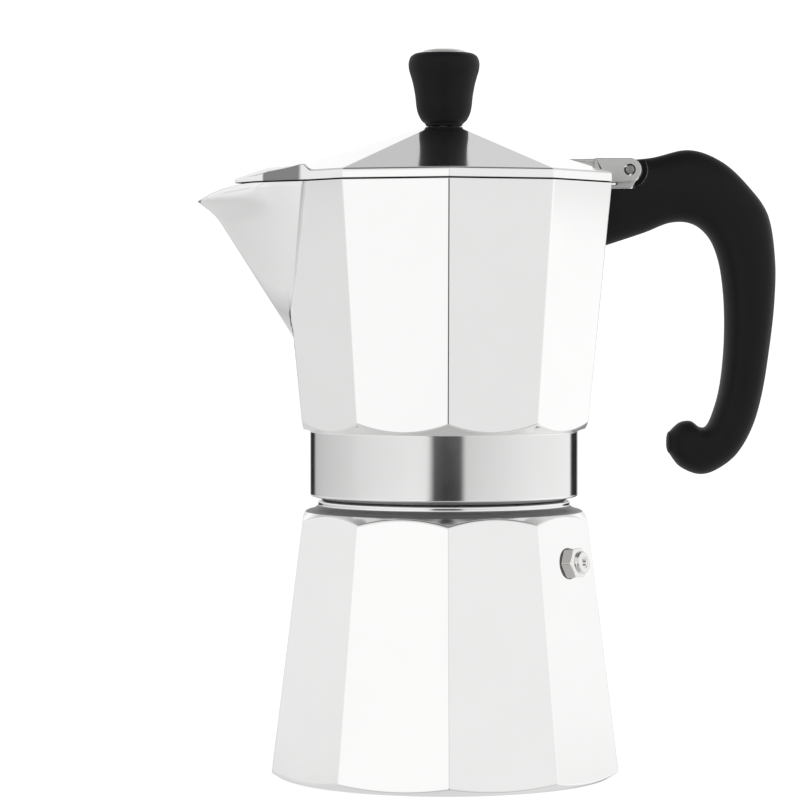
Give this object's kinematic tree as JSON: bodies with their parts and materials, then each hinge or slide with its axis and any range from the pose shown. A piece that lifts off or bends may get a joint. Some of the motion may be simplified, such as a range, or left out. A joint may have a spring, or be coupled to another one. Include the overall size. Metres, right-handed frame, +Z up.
{
  "type": "moka pot",
  "caption": "Stovetop coffee pot: faceted boiler, screw-on faceted jug with a V spout, hinged lid with knob, curved handle, funnel, filter plate and safety valve.",
  "frame": {"origin": "on the pot's axis, at the centre of the boiler's flat underside", "axes": "+Z up along the pot's axis, +X towards the handle, -X towards the spout, an edge between two facets faces -Y"},
  "size_m": [0.1702, 0.106, 0.2136],
  "materials": {
    "polished_aluminium": "polished casting with turned bands",
    "spun_aluminium": "satin, spun",
    "plated_steel": "nickel-plated",
    "black_plastic": "matt, finely grained",
    "silicone": "matt white silicone",
    "valve_silicone": "matt red silicone",
    "fibre": "pressed fibre"
  },
  "bodies": {
    "boiler_body": {"boiler": "polished_aluminium", "valve_body": "plated_steel", "valve_cap": "plated_steel", "valve_washer": "fibre", "valve_spring": "plated_steel"},
    "plunger_body": {"valve_plunger": "plated_steel", "valve_seal": "valve_silicone"},
    "funnel_body": {"funnel": "spun_aluminium", "funnel_plate": "spun_aluminium"},
    "gasket_body": {"gasket": "silicone"},
    "filter_body": {"filter_plate": "spun_aluminium"},
    "collector_body": {"collector": "polished_aluminium", "column": "spun_aluminium", "handle": "black_plastic", "handle_screw": "plated_steel", "hinge_pin": "plated_steel"},
    "lid_body": {"lid": "polished_aluminium", "knob": "black_plastic", "knob_cap": "plated_steel", "knob_screw": "plated_steel"}
  },
  "joints": [
    {"name": "funnel_lift", "type": "slide", "parent": "boiler_body", "child": "funnel_body", "axis": [0, 0, 1], "range_m": [0, 0.09]},
    {"name": "collector_lift", "type": "slide", "parent": "funnel_body", "child": "gasket_body", "axis": [0, 0, 1], "range_m": [0, 0.09]},
    {"name": "thread_rise", "type": "slide", "parent": "gasket_body", "child": "filter_body", "axis": [0, 0, 1], "range_m": [0, 0.0076]},
    {"name": "collector_unscrew", "type": "hinge", "parent": "filter_body", "child": "collector_body", "pos_m": [0, 0, 0.09], "axis": [0, 0, 1], "range_deg": [0, 900]},
    {"name": "lid_hinge", "type": "hinge", "parent": "collector_body", "child": "lid_body", "pos_m": [0.0542, 0, 0.1778], "axis": [0, 1, 0], "range_deg": [0, 100]},
    {"name": "valve_lift", "type": "slide", "parent": "boiler_body", "child": "plunger_body", "axis": [0.8032, -0.5836, 0.1195], "range_m": [0, 0.001], "stiffness_N_per_m": 1500, "springref_m": -0.002, "deforming": ["valve_spring"]}
  ],
  "couplings": [
    {"joint": "thread_rise", "follows": "collector_unscrew", "m_per_rad": 0.00047746}
  ]
}
